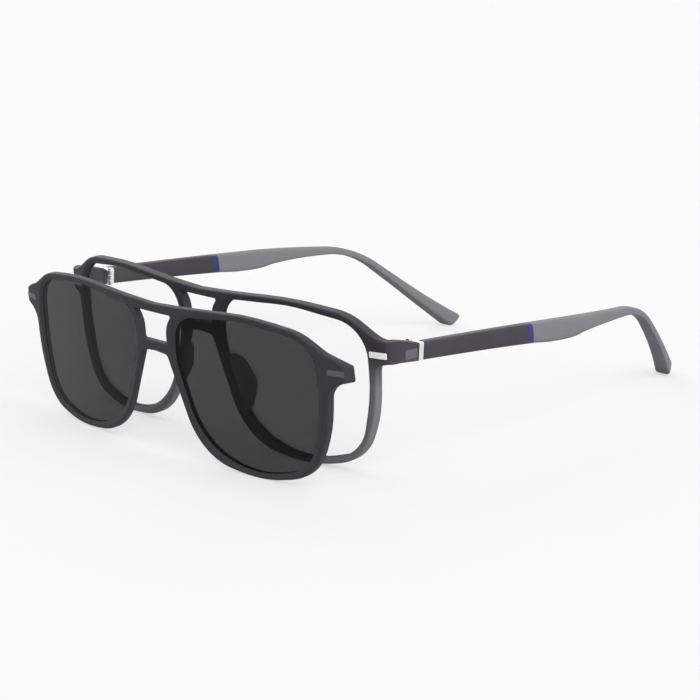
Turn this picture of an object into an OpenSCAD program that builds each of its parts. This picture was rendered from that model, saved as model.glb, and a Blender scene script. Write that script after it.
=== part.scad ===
// Spectacles with a double bridge and a magnetic clip-on sun front that stands just ahead of them.
// Millimetres, +Z up. X runs across the front, +X is the wearer's left. Y runs back along the temples.
// The origin is on the table below the middle of the bridge, in the plane of the front's face.

/* [Spectacle front] */
// Width of a lens opening
lens_w = 53.2; // [51:0.1:54]
// Height of a lens opening
lens_h = 43.3; // [40:0.1:45]
// Gap between the two lens openings
lens_gap = 17.6; // [16:0.1:20]
// Thickness of the moulded front
front_t = 2.8; // [2.4:0.1:3.4]
// Radius of the front's curve, seen from above
front_curve = 300; // [240:10:400]
// Forward lean of the front
front_lean = 4.4; // [2:0.1:8]
// Width of an end piece beyond its lens opening
end_w = 8; // [6.5:0.1:11]
// Height of an end piece at its corner
end_h = 6.5; // [6:0.1:7.5]
// Fall from the top of a lens opening to the top of an end piece
end_drop = 5.9; // [5.5:0.1:7]
// Outer radius of the corner from the front to the side
corner_r = 3.6; // [3.5:0.1:4.5]

/* [Rims] */
// Rim above a lens
rim_top = 2.3; // [2:0.1:2.8]
// Rim below a lens
rim_foot = 1.6; // [1.4:0.1:2.4]
// Rim beside a lens, at the temple
rim_side = 2; // [1.7:0.1:3]
// Depth of the groove that holds a lens edge
groove = 0.5; // [0.3:0.1:0.7]
// Fall of the brow line from its crests to the middle
brow_dip = 1.95; // [1.2:0.05:2.6]
// Height of the upper bridge bar
high_bar_h = 2; // [1.6:0.1:3]
// Height of the lower bridge bar
low_bar_h = 2.8; // [2.2:0.1:4]
// Height of the gap between the two bridge bars
bridge_gap_h = 8; // [7:0.1:9.5]

/* [Lenses] */
// Thickness of a clear lens
clear_t = 1.6; // [1.2:0.1:1.8]
// Thickness of a tinted lens
tint_t = 0.9; // [0.7:0.1:1.1]

/* [Clip-on] */
// How much narrower a lens opening of the clip-on is than one of the front
clip_lens_less = 2.2; // [1.2:0.1:3.7]
// Height of a lens opening in the clip-on
clip_lens_h = 42.3; // [38:0.1:44]
// Gap between the two lens openings in the clip-on
clip_gap = 17.3; // [16:0.1:20]
// Thickness of the clip-on
clip_t = 2.2; // [2:0.1:2.6]
// Rim beside a lens of the clip-on, at its end
clip_rim_side = 3.2; // [2.8:0.1:4]
// Width of an end of the clip-on beyond its lens opening
clip_end_w = 10.95; // [9.5:0.05:13]
// Bevel across each end of the clip-on, at its face
clip_bevel = 1.9; // [0.5:0.1:2.5]
// Height of an end of the clip-on
clip_end_h = 4.5; // [4:0.1:5.5]
// Fall from the top of a lens opening to the top of an end of the clip-on
clip_end_drop = 7.5; // [7:0.1:9]
// Height of the gap between the two bridge bars of the clip-on
clip_bridge_gap_h = 8.6; // [7:0.1:9.5]
// Height of the upper bridge bar of the clip-on
clip_high_bar_h = 2.4; // [2:0.1:3]
// Gap between the seated clip-on and the front
seat_gap = 0.2; // [0.15:0.05:0.4]
// How far the clip-on stands ahead of its seat
clip_ahead = 17.3; // [12:0.1:30]
// How far the clip-on stands to the wearer's left of its seat
clip_aside = 3.2; // [0:0.1:8]

/* [Magnets] */
// Length of a magnet bar
magnet_l = 5.6; // [4:0.1:6.5]
// Height of a magnet bar
magnet_h = 1.8; // [1.4:0.1:2.4]
// Depth of a magnet bar in the front
magnet_t = 1.5; // [1.2:0.1:1.8]
// Depth of a magnet in the clip-on
clip_magnet_t = 1.2; // [1:0.1:1.4]
// Distance from the side of the front in to the centre of a magnet bar
magnet_in = 4.5; // [4:0.1:5.5]

/* [Nose pads] */
// Height of a nose pad
pad_h = 19; // [15:0.5:21]
// Depth of a nose pad behind the face of the front
pad_d = 9; // [7:0.5:10]
// Thickness of a nose pad
pad_t = 1.8; // [1.4:0.1:2.2]
// Turn of a nose pad outwards to the back
pad_splay = 16; // [10:1:20]
// Lean of a nose pad, nearer together at the top
pad_lean = 21; // [18:1:24]
// Fall from the lower bridge bar to the top of a nose pad
pad_drop = 5; // [3:0.5:6]

/* [Hinges] */
// Distance from the face of the front to the hinge line
hinge_y = 17; // [16:0.5:20]
// Height of the hinge's middle above the table
hinge_z = 35; // [33:0.5:37]
// Radius of a hinge knuckle
knuckle_r = 1.2; // [1.1:0.05:1.3]
// Radius of the hinge screw
screw_r = 0.6; // [0.5:0.05:0.7]
// Thickness of a hinge end plate
plate_t = 0.8; // [0.6:0.1:1]
// Gap between the two end plates
plate_gap = 0.08; // [0.06:0.02:0.14]
// Length of the anchor that holds a hinge in the plastic
anchor_l = 5.5; // [4:0.5:7]

/* [Temples] */
// Thickness of a temple
temple_t = 3.5; // [3.2:0.1:4]
// Height of a temple at the hinge
temple_h = 5.2; // [4.8:0.1:6]
// Downward slope of a temple to the back
temple_slope = 3; // [1:0.5:5]
// Length of the stiff arm, from the hinge to the coloured band
arm_l = 44.5; // [38:0.5:52]
// Length of the coloured band
band_l = 2.2; // [1.5:0.1:4]
// Forward lean of the band's two joints at the top, for each unit of height
band_slant = 0.22; // [0:0.02:0.4]
// Distance from the hinge to the ear bend
bend_y = 93.5; // [90:0.5:98]
// Radius of the ear bend
bend_r = 31.5; // [24:0.5:38]
// Fall of the temple tip below the line of the temple, in degrees
bend_drop = 36; // [32:0.5:40]
// Distance from the hinge to the start of the sleeve's inward curve
curve_y = 60; // [56:1:70]
// Radius of the sleeve's inward curve, seen from above
sleeve_curve = 172; // [150:2:220]
// Height of the sleeve at its waist, in the bend
waist_h = 2.3; // [2.2:0.1:3]
// Height of the sleeve at its belly, behind the band
belly_h = 6.4; // [6:0.1:7]
// Height of the sleeve at its tip
tip_h = 5.2; // [4.6:0.1:6]
// Thickness of the sleeve at its tip
tip_t = 5.8; // [4:0.1:6.5]
// Radius of the two corners of the tip, seen from the side
tip_r = 1.2; // [0.8:0.1:1.8]

/* [Hidden] */

FRONT = "#4d4b50";
TEMPLE = "#565459";
SLEEVE = "#8f8e94";
BAND = "#4a4678";
METAL = "#d8d8d4";
INLAY = "#6f6d72";
CLEAR = [0.9, 0.94, 0.96, 0.25];
TINT = [0.25, 0.25, 0.26, 0.85];

half_w = lens_gap / 2 + lens_w + end_w;
corner_x = half_w - corner_r;   // centre of the corner's round
clip_lens_w = lens_w - clip_lens_less;
clip_half_w = clip_gap / 2 + clip_lens_w + clip_end_w;
magnet_x = half_w - magnet_in;
FLAT = 360;   // facets of the large front curve

function unit(v) = v / norm(v);
function turned(v, a) = [v.x * cos(a) - v.y * sin(a), v.x * sin(a) + v.y * cos(a)];
function both_sides(half) = concat(
    half, [for (i = [len(half) - 1:-1:0]) if (half[i].x > 0) [-half[i].x, half[i].y, half[i].z]]);

// An arc in place of the corner b of the path a, b, c; its radius gives way where a side is short
function arc(a, b, c, r) =
    r == 0 ? [b] :
    let (
        u = unit(a - b), v = unit(c - b), half = acos(max(-1, min(1, u * v))) / 2,
        cut = min(r / tan(half), 0.49 * norm(a - b), 0.49 * norm(c - b)), rr = cut * tan(half),
        mid = b + unit(u + v) * rr / sin(half), start = b + u * cut - mid,
        sweep = -sign(cross(u, v)) * (180 - 2 * half), n = max(2, ceil(abs(sweep) / 7))
    )
    [for (k = [0:n]) mid + turned(start, sweep * k / n)];

// A closed outline from corner points [x, y, radius]
function rounded(p) =
    let (n = len(p))
    [for (i = [0:n - 1]) each arc(
        [p[(i + n - 1) % n].x, p[(i + n - 1) % n].y], [p[i].x, p[i].y], [p[(i + 1) % n].x, p[(i + 1) % n].y], p[i].z)];

// An outline moved outwards by d, along the normal at each point
function grown(p, d) =
    let (n = len(p))
    [for (i = [0:n - 1]) let (t = unit(p[(i + 1) % n] - p[(i + n - 1) % n])) p[i] + d * [-t.y, t.x]];

// Pilot lens shape: each corner's share of the lens width and height, and its radius, clockwise
LENS = [
    [0.029, 0.973, 7.7], [0.521, 1.011, 62], [0.992, 0.941, 11], [1.004, 0.507, 50],
    [0.933, 0.096, 12], [0.553, -0.036, 60], [0.153, 0.134, 24], [-0.014, 0.708, 50],
];
CLIP_LENS = [
    [0.029, 0.951, 7.7], [0.521, 1.014, 62], [0.992, 0.93, 9.5], [1.004, 0.489, 50],
    [0.94, 0.093, 12], [0.553, -0.035, 60], [0.153, 0.129, 24], [-0.014, 0.683, 50],
];
function lens_outline(shape, w, h, gap) =
    rounded([for (c = shape) [gap / 2 + c.x * w, rim_foot + c.y * h, c.z]]);

// A front's outer outline, from the middle of the brow round a rim to the low bridge bar and back.
// It runs round openings of width w and height h; its ends reach end_x and are end_h high there.
// The shape list holds the crest's share of w, the fall to the shoulder, the rise from the end piece
// to the shoulder, the fall from the end piece to the rim's side and the slant of the tip.
function front_outline(w, h, gap, end_x, end_top, end_h, shape, bar_low) =
    let (nose = gap / 2, side = nose + w, brow = rim_foot + h + rim_top)
    rounded(both_sides([
        [0, brow - brow_dip, 0],
        [nose + 3.9, brow - 0.7 * brow_dip, 60],
        [nose + shape[0] * w, brow, 150],
        [side - 6.5, brow - shape[1], 19],
        [side + 1.5, end_top + shape[2], 12],
        [end_x - shape[4], end_top, 0.8],
        [end_x, end_top - end_h, 0.8],
        [side + rim_side + 0.8, end_top - end_h - shape[3], 5],
        [side + rim_side, rim_foot + 0.372 * h, 40],
        [side - 3.3, 3.5, 15],
        [side - 20.1, -0.7, 60],
        [nose + 8, 2.4, 21],
        [nose - 3.4, bar_low - 0.4, 1.6],
        [0, bar_low, 0],
    ]));

// The opening between the two bridge bars
function bridge_gap_outline(gap, low, high) = rounded(both_sides([
    [0, high, 0],
    [gap / 2 - 0.6, high, 0.4],
    [gap / 2 - 3, low + 0.585 * (high - low), 12],
    [gap / 2 - 3.1, low, 0.6],
    [0, low, 0],
]));

// Heights in the plane of a front, from its lowest line
lens_top = rim_foot + lens_h;
gap_top = lens_top + rim_top - brow_dip - high_bar_h;
gap_low = gap_top - bridge_gap_h;
bar_low = gap_low - low_bar_h;
end_top = lens_top - end_drop;
end_low = end_top - end_h;
magnet_z = end_top - end_h / 2 - 0.8;

clip_lens_top = rim_foot + clip_lens_h;
clip_gap_top = clip_lens_top + rim_top - brow_dip - clip_high_bar_h;
clip_gap_low = clip_gap_top - clip_bridge_gap_h;
clip_bar_low = clip_gap_low - low_bar_h;
clip_end_top = clip_lens_top - clip_end_drop;
clip_magnet_z = clip_end_top - clip_end_h / 2;
clip_lift = magnet_z - clip_magnet_z;   // lines the magnets up when the clip-on is seated

front_out = front_outline(
    lens_w, lens_h, lens_gap, corner_x + 0.3 * corner_r, end_top, end_h, [0.505, 1.8, 1.2, 0.7, 0], bar_low);
clip_out = front_outline(
    clip_lens_w + clip_rim_side - rim_side, clip_lens_h, clip_gap, clip_half_w, clip_end_top, clip_end_h,
    [0.535, 2.4, 2.6, 1.9, 0.4], clip_bar_low);
clear_out = lens_outline(LENS, lens_w, lens_h, lens_gap);
tint_out = lens_outline(CLIP_LENS, clip_lens_w, clip_lens_h, clip_gap);

// How far the curve of radius r about the front's axis lies behind the face at the middle, at x
function sag(x, r) = front_curve - sqrt(r * r - x * x);
clip_face_r = front_curve + seat_gap + clip_t;
front_lift = -min([for (p = front_out) sag(p.x, front_curve) * sin(front_lean) + p.y * cos(front_lean)]);
clip_low = min([for (p = clip_out) sag(p.x, clip_face_r) * sin(front_lean) + (p.y + clip_lift) * cos(front_lean)]);
clip_drop = -(clip_low + front_lift);   // from the seat down to the table

// Places in the side view, [y, z]: from the temple's own frame to the table's, and on to the front's own frame
function from_temple(p) = [
    hinge_y + p.x * cos(temple_slope) + p.y * sin(temple_slope),
    hinge_z - p.x * sin(temple_slope) + p.y * cos(temple_slope)];
function to_front(p) = let (z = p.y - front_lift) [
    p.x * cos(front_lean) + z * sin(front_lean),
    z * cos(front_lean) - p.x * sin(front_lean)];

// A plate of the given outline, cut from the front's curve between two radii
module curved_plate(outline, r_out, r_in) {
    DEPTH = 40;
    intersection() {
        translate([0, DEPTH - 10, 0]) rotate([90, 0, 0]) linear_extrude(DEPTH) polygon(outline);
        translate([0, front_curve, -5]) difference() {
            cylinder(r = r_out, h = 80, $fn = FLAT);
            translate([0, 0, -1]) cylinder(r = r_in, h = 82, $fn = FLAT);
        }
    }
}

module leaning() { translate([0, 0, front_lift]) rotate([front_lean, 0, 0]) children(); }
module clip_place() { translate([clip_aside, -clip_ahead, clip_drop]) leaning() children(); }
module side(s) { mirror([s < 0 ? 1 : 0, 0, 0]) children(); }

// Extrudes a side view, [y, z], across x from x0 to x1
module across(points, x0, x1) {
    translate([x0, 0, 0]) rotate([90, 0, 90]) linear_extrude(x1 - x0) polygon(points);
}

// A bar let into the face of the front's curve, centred on magnet_x
module face_bar(z, r_out, r_in, length, height) {
    a = asin(magnet_x / front_curve);
    translate([0, front_curve, z]) rotate([0, 0, a])
        translate([-length / 2, -r_out, -height / 2]) cube([length, r_out - r_in, height]);
}

PROUD = 0.05;   // the magnet bar stands this far proud of the face
module magnet_shape() { face_bar(magnet_z, front_curve + PROUD, front_curve - magnet_t, magnet_l, magnet_h); }
module clip_magnet_shape() {
    face_bar(clip_magnet_z, clip_face_r + PROUD, clip_face_r - clip_magnet_t, magnet_l - 0.2, magnet_h - 0.2);
}

// The corner of the front: where its curve meets the round of the end piece
corner_y = front_curve - sqrt(pow(front_curve - corner_r, 2) - pow(corner_x, 2));
corner_turn = asin(corner_x / (front_curve - corner_r));

module end_piece() {
    LAP = 0.02;     // the round of the corner lies this far inside the faces it joins
    OVER = 8;       // and runs this many degrees into each of them
    translate([corner_x, corner_y, end_low]) intersection() {
        difference() {
            cylinder(r = corner_r - LAP, h = end_h, $fn = 64);
            translate([0, 0, -1]) cylinder(r = corner_r - front_t + LAP, h = end_h + 2, $fn = 64);
        }
        linear_extrude(end_h) polygon([
            [0, 0], 12 * [sin(corner_turn - OVER), -cos(corner_turn - OVER)], [12, -12], 12 * [cos(OVER), sin(OVER)]]);
    }
    across([
        [corner_y, end_low],
        to_front(from_temple([-plate_t - plate_gap / 2, -temple_h / 2])),
        to_front(from_temple([-plate_t - plate_gap / 2, temple_h / 2])),
        [corner_y, end_top],
    ], half_w - front_t, half_w);
    across([
        [corner_y + 3, end_low + 0.6],
        to_front(from_temple([-plate_t - plate_gap / 2, -temple_h / 2])),
        to_front(from_temple([-plate_t - plate_gap / 2, temple_h / 2])),
        [corner_y + 3, end_top - 0.6],
    ], half_w - temple_t, half_w);
}

// A leaf-shaped wing behind the nose side of a rim
module nose_pad() {
    low = bar_low - pad_drop - pad_h;
    mid = bar_low - 9;      // where the pad's plane crosses the middle of the rim
    translate([lens_gap / 2 + 1.3, 1, mid]) rotate([0, -pad_lean, 0]) rotate([0, 0, -pad_splay])
        translate([0, -1, -mid]) across(rounded([
            [1.2, low + pad_h, 2], [0.72 * pad_d, low + 0.9 * pad_h, 5], [pad_d, low + 0.42 * pad_h, 5],
            [0.5 * pad_d, low + 0.04 * pad_h, 4], [1.2, low, 2]]), -pad_t / 2, pad_t / 2);
}

module front_frame() {
    color(FRONT) leaning() difference() {
        union() {
            intersection() {
                curved_plate(front_out, front_curve, front_curve - front_t);
                translate([0, front_curve, -10]) linear_extrude(80) polygon([
                    [0, 0],
                    2 * front_curve * [-sin(corner_turn), -cos(corner_turn)],
                    2 * front_curve * [sin(corner_turn), -cos(corner_turn)]]);
            }
            for (s = [1, -1]) side(s) {
                end_piece();
                nose_pad();
            }
        }
        for (s = [1, -1]) side(s) {
            curved_plate(clear_out, front_curve + 1, front_curve - front_t - 0.01);
            curved_plate(grown(clear_out, groove), front_curve - 0.6, front_curve - 0.6 - clear_t);
            magnet_shape();
        }
        curved_plate(bridge_gap_outline(lens_gap, gap_low, gap_top), front_curve + 1, front_curve - front_t - 1);
        for (s = [1, -1]) side(s) to_leaning() hinge_anchor(-1);
    }
}

// From the table's frame into the leaning front's frame, for a cut that is placed on the table
module to_leaning() { rotate([-front_lean, 0, 0]) translate([0, 0, -front_lift]) children(); }

module clear_lens(s) {
    color(CLEAR) leaning() side(s)
        curved_plate(grown(clear_out, groove), front_curve - 0.6, front_curve - 0.6 - clear_t);
}

module magnet_bar(s) { color(METAL) leaning() side(s) magnet_shape(); }

// Hinges: in the temple's frame the pin stands on z, the end plates face each other at y = 0
pin_x = half_w - temple_t - knuckle_r - 0.3;
knuckle_h = (temple_h - 0.4) / 3;
module at_hinge() { translate([0, hinge_y, hinge_z]) rotate([-temple_slope, 0, 0]) children(); }

// The anchor behind an end plate, in the front (way -1) or in the temple (way 1)
module hinge_anchor(way) {
    at_hinge() mirror([0, way < 0 ? 1 : 0, 0])
        translate([half_w - temple_t + 1, plate_gap / 2 + plate_t - 0.01, -1.3]) cube([1.4, anchor_l, 2.6]);
}

module knuckle(z0, bore) {
    translate([pin_x, 0, z0]) difference() {
        cylinder(r = knuckle_r, h = knuckle_h - 0.05, $fn = 48);
        translate([0, 0, -1]) cylinder(r = bore, h = knuckle_h + 2, $fn = 48);
    }
}

// The strap from an end plate to the pin, at the height of one knuckle
module strap(way, z0, bore) {
    difference() {
        mirror([0, way < 0 ? 1 : 0, 0])
            translate([pin_x, plate_gap / 2, z0]) cube([half_w - temple_t - pin_x + 0.2, plate_t, knuckle_h - 0.05]);
        translate([pin_x, 0, z0 - 1]) cylinder(r = bore, h = knuckle_h + 2, $fn = 48);
    }
}

module end_plate(way) {
    mirror([0, way < 0 ? 1 : 0, 0])
        translate([half_w - temple_t, plate_gap / 2, -temple_h / 2]) cube([temple_t, plate_t, temple_h]);
}

module front_hinge(s) {
    color(METAL) side(s) {
        at_hinge() {
            end_plate(-1);
            for (z0 = [-1.5 * knuckle_h, 0.5 * knuckle_h]) {
                knuckle(z0, screw_r + 0.02);
                strap(-1, z0, screw_r + 0.02);
            }
        }
        hinge_anchor(-1);
    }
}

module temple_hinge(s) {
    color(METAL) side(s) {
        at_hinge() {
            end_plate(1);
            knuckle(-0.5 * knuckle_h, screw_r + 0.05);
            strap(1, -0.5 * knuckle_h, screw_r + 0.05);
        }
        hinge_anchor(1);
    }
}

module hinge_screw(s) {
    SLOT = 0.3;
    color(METAL) side(s) at_hinge() translate([pin_x, 0, 0]) difference() {
        union() {
            translate([0, 0, -1.5 * knuckle_h]) cylinder(r = screw_r, h = 3 * knuckle_h, $fn = 32);
            translate([0, 0, 1.5 * knuckle_h - 0.05]) cylinder(r = screw_r + 0.35, h = 0.5, $fn = 32);
        }
        translate([-2, -SLOT / 2, 1.5 * knuckle_h + 0.25]) cube([4, SLOT, 1]);
    }
}

// Height of the temple above and below its own line: distance from the hinge, above, below
SLEEVE_Y = arm_l + band_l;
SLANT_REACH = 20;   // the slant of the band's joints fades out this far from the band
TIP_ABOVE = tip_h / 2 + 0.2;
TIP_BELOW = tip_h / 2 - 0.2;
// Fall from the hinge to the temple's line where the bend ends
bend_fall = (bend_y + bend_r * sin(bend_drop)) * sin(temple_slope) + bend_r * (1 - cos(bend_drop)) * cos(temple_slope);
// The tip is as long as it takes for its lower corner to stand on the table
tip_turn = bend_drop + temple_slope;
tip_past = tip_r + (hinge_z - bend_fall - (TIP_BELOW - tip_r) * cos(tip_turn) - tip_r) / sin(tip_turn);
tip_s = bend_y + bend_r * bend_drop * PI / 180 + tip_past;
ABOVE = [
    [0, temple_h / 2], [SLEEVE_Y + 17, temple_h / 2 - 0.1], [SLEEVE_Y + 25, temple_h / 2 - 0.25],
    [bend_y - 9, waist_h / 2 + 0.8], [bend_y + 1, waist_h / 2 + 0.4], [bend_y + 16, waist_h / 2 + 0.15],
    [bend_y + 26, waist_h / 2 + 0.35], [bend_y + 42, tip_h / 2 - 0.7], [tip_s, TIP_ABOVE]];
BELOW = [
    [0, temple_h / 2], [SLEEVE_Y, temple_h / 2 + 0.8], [SLEEVE_Y + 9, belly_h / 2 + 0.7],
    [SLEEVE_Y + 17, belly_h / 2 + 0.6], [SLEEVE_Y + 25, belly_h / 2 - 0.6], [bend_y - 9, waist_h / 2 + 0.2],
    [bend_y + 1, waist_h / 2 - 0.2], [bend_y + 26, waist_h / 2 - 0.15], [bend_y + 42, tip_h / 2 - 0.9],
    [tip_s, TIP_BELOW]];

// A point at distance d along the temple's line, h above it: straight, round the ear bend, straight down to the tip
function on_line(d, h) =
    let (
        a = min(bend_drop, max(0, (d - bend_y) / bend_r * 180 / PI)),
        past = max(0, d - bend_y - bend_r * bend_drop * PI / 180),
        slant = band_slant * max(0, 1 - abs(d - arm_l - band_l / 2) / SLANT_REACH)
    )
    [
        min(d, bend_y) + bend_r * sin(a) + past * cos(a) + h * (sin(a) - slant),
        bend_r * (cos(a) - 1) - past * sin(a) + h * cos(a)];

// The side view of the temple from one distance to another, drawn in by inset all round
function temple_side(d0, d1, inset) =
    let (n = max(2, ceil((d1 - d0) / 4)), d = [for (i = [0:n]) d0 + (d1 - d0) * i / n])
    concat(
        [for (q = d) on_line(q, lookup(q, ABOVE) - inset)],
        [for (i = [n:-1:0]) on_line(d[i], inset - lookup(d[i], BELOW))]);

// The side view of the sleeve from distance d0 to its blunt end with rounded corners
function tip_side(d0) =
    let (n = ceil((tip_s - d0) / 4), d = [for (i = [0:n - 1]) d0 + (tip_s - 3 - d0) * i / (n - 1)])
    concat(
        [for (q = d) on_line(q, lookup(q, ABOVE))],
        arc(on_line(tip_s - 3, lookup(tip_s - 3, ABOVE)), on_line(tip_s, TIP_ABOVE), on_line(tip_s, -TIP_BELOW), tip_r),
        arc(on_line(tip_s, TIP_ABOVE), on_line(tip_s, -TIP_BELOW), on_line(tip_s - 3, -lookup(tip_s - 3, BELOW)), tip_r),
        [for (i = [n - 1:-1:0]) on_line(d[i], -lookup(d[i], BELOW))]);

// Radius of the sleeve's inner face: the smaller it is, the thicker the sleeve grows to its tip
curve_run = on_line(tip_s, 0).x - curve_y;
inner_curve = 1 / (1 / sleeve_curve + 2 * (tip_t - temple_t) / pow(curve_run, 2));

// A side view given the sleeve's inward curve, between depths below its outer and its inner face
module curved_side(points, outer, inner) {
    intersection() {
        across(points, half_w - 60, half_w + 1);
        union() {
            translate([half_w - temple_t + inner, 0, -90])
                cube([temple_t - inner - outer, curve_y + 0.01, 120]);
            intersection() {
                difference() {
                    translate([half_w - sleeve_curve, curve_y, -90])
                        cylinder(r = sleeve_curve - outer, h = 120, $fn = FLAT);
                    translate([half_w - temple_t - inner_curve, curve_y, -91])
                        cylinder(r = inner_curve + inner, h = 122, $fn = FLAT);
                }
                translate([0, curve_y, -90]) cube([half_w + 1, sleeve_curve, 120]);
            }
        }
    }
}

SPINE_IN = 1.1;     // depth of the arm's spine below the faces of the band and the sleeve
module spine() {
    curved_side(temple_side(arm_l - 0.01, tip_s - 8, 0.7), SPINE_IN, SPINE_IN);
}

module temple_arm(s) {
    color(TEMPLE) side(s) difference() {
        at_hinge() {
            across(temple_side(plate_gap / 2 + plate_t, arm_l, 0), half_w - temple_t, half_w);
            spine();
        }
        hinge_anchor(1);
    }
}

module temple_band(s) {
    color(BAND) side(s) at_hinge() difference() {
        across(temple_side(arm_l, SLEEVE_Y, 0), half_w - temple_t, half_w);
        spine();
    }
}

module temple_sleeve(s) {
    color(SLEEVE) side(s) at_hinge() difference() {
        curved_side(tip_side(SLEEVE_Y), 0, 0);
        spine();
    }
}

// The clip-on's plate, its two ends bevelled towards the face
module clip_plate() {
    face_y = sag(clip_half_w, clip_face_r);
    back_y = sag(clip_half_w, clip_face_r - clip_t);
    slope = clip_bevel / (back_y - face_y);
    intersection() {
        curved_plate(clip_out, clip_face_r, clip_face_r - clip_t);
        translate([0, 0, -10]) linear_extrude(80) polygon([
            [clip_half_w + slope * 8, back_y + 8], [clip_half_w - slope * 8, back_y - 8], [0, -20],
            [-clip_half_w + slope * 8, back_y - 8], [-clip_half_w - slope * 8, back_y + 8]]);
    }
}

module clip_frame() {
    color(FRONT) clip_place() translate([0, 0, clip_lift]) difference() {
        clip_plate();
        for (s = [1, -1]) side(s) {
            curved_plate(tint_out, clip_face_r + 1, clip_face_r - clip_t - 1);
            curved_plate(grown(tint_out, groove), clip_face_r - 0.7, clip_face_r - 0.7 - tint_t);
            clip_magnet_shape();
        }
        curved_plate(bridge_gap_outline(clip_gap, clip_gap_low, clip_gap_top), clip_face_r + 1, clip_face_r - clip_t - 1);
    }
}

module tinted_lens(s) {
    color(TINT) clip_place() translate([0, 0, clip_lift]) side(s)
        curved_plate(grown(tint_out, groove), clip_face_r - 0.7, clip_face_r - 0.7 - tint_t);
}

module clip_magnet(s) { color(INLAY) clip_place() translate([0, 0, clip_lift]) side(s) clip_magnet_shape(); }

front_frame();
clear_lens(1);  // clear_lens_left
clear_lens(-1);  // clear_lens_right
magnet_bar(1);  // magnet_bar_left
magnet_bar(-1);  // magnet_bar_right
front_hinge(1);  // front_hinge_left
front_hinge(-1);  // front_hinge_right
hinge_screw(1);  // hinge_screw_left
hinge_screw(-1);  // hinge_screw_right
temple_hinge(1);  // temple_hinge_left
temple_hinge(-1);  // temple_hinge_right
temple_arm(1);  // temple_arm_left
temple_arm(-1);  // temple_arm_right
temple_band(1);  // temple_band_left
temple_band(-1);  // temple_band_right
temple_sleeve(1);  // temple_sleeve_left
temple_sleeve(-1);  // temple_sleeve_right
clip_frame();
tinted_lens(1);  // tinted_lens_left
tinted_lens(-1);  // tinted_lens_right
clip_magnet(1);  // clip_magnet_left
clip_magnet(-1);  // clip_magnet_right
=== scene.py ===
"""Spectacles with a double bridge and a magnetic clip-on sun front, dressed over their solids."""
import math

import bmesh
import bpy
import numpy as np
from mathutils import Euler, Matrix, Vector, geometry


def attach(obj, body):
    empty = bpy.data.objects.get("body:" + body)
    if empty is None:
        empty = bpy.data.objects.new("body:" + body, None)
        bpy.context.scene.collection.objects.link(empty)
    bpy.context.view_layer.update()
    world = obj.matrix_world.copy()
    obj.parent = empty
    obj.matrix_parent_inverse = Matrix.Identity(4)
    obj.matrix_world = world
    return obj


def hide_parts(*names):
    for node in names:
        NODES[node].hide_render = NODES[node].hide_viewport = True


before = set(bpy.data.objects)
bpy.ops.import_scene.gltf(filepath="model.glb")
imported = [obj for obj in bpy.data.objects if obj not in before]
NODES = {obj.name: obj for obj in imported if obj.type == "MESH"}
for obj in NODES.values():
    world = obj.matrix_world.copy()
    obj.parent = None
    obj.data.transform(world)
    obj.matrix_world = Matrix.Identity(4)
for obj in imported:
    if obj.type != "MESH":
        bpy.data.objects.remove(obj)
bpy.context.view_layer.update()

MM = 0.001
SIDES = (("left", 1), ("right", -1))        # the wearer's left is +X

# Sizes are in millimetres, as the solids have them

# The optical front: a plate on a drum that leans back, with rounded corners into two side arms
HALF_W, FRONT_T = 70.0, 2.8
CURVE = 300.0                               # radius of the face
LEAN = math.radians(4.4)
FRONT_LIFT = -0.19995                       # brings the foot down to the table
LENS_W, LENS_H, LENS_GAP = 53.2, 43.3, 17.6
RIM_TOP, RIM_FOOT, RIM_SIDE = 2.3, 1.6, 2.0
BROW_DIP = 1.95                             # how far the brow sinks above the nose
END_TOP, END_LOW = 39.0, 32.5               # the end pieces, and the side arms behind them
BAR_LOW, GAP_LOW, GAP_TOP = 32.45, 35.25, 43.25     # the low bar, and the opening above it
FACE_ROUND, BACK_ROUND = 0.45, 0.35         # edges of both fronts
CORNER_R = 3.6
CORNER_X = HALF_W - CORNER_R
CORNER_TURN = math.asin(CORNER_X / (CURVE - CORNER_R))
CORNER_Y = CURVE - (CURVE - CORNER_R) * math.cos(CORNER_TURN)
U_TURN = CURVE * CORNER_TURN                                # where the face meets the corner's round
U_ARM = U_TURN + CORNER_R * (math.pi / 2 - CORNER_TURN)     # and where that meets the side arm
CORNER_ZONE = (67.0, 73.0)                                  # the stretch that needs finer faces

# The clip-on, shown ahead of its seat and to one side
CLIP_HALF, CLIP_T = 70.6, 2.2
CLIP_LENS_W, CLIP_LENS_H, CLIP_GAP = 51.0, 42.3, 17.3
CLIP_RIM_SIDE = 3.2
CLIP_SIDE = CLIP_GAP / 2 + CLIP_LENS_W + CLIP_RIM_SIDE - RIM_SIDE
CLIP_END_TOP, CLIP_END_LOW = 36.4, 31.9
CLIP_BAR_LOW, CLIP_GAP_LOW, CLIP_GAP_TOP = 30.45, 33.25, 41.85
CLIP_BEVEL, CLIP_BEVEL_RUN = 1.9, 5.0       # how far its ends are cut back, and over what length
SEAT_GAP = 0.2                              # between its back and the front's face when it is on
CLIP_R = CURVE + SEAT_GAP + CLIP_T
CLIP_LIFT = 0.8                             # how much higher it sits on the face than it is drawn
CLIP_PLACE = (3.2, -17.3, -0.62524)         # from its seat: aside, ahead and down to the table

# Lenses: how deep each lies below the face, its thickness and the bevel that leads down to it
CLEAR_AT, CLEAR_T, CLEAR_BEVEL = 0.6, 1.6, 1.1
TINT_AT, TINT_T, TINT_BEVEL = 0.7, 0.9, 1.4
GROOVE = 0.5

# Magnet bars: half width, half height and depth
MAGNET_X, MAGNET_Z, CLIP_MAGNET_Z = 65.5, 34.95, 34.15
MAGNET_SIZE = (2.8, 0.9, 1.5)
CLIP_MAGNET_SIZE = (2.7, 0.8, 1.2)
MAGNET_PROUD = 0.05

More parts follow.
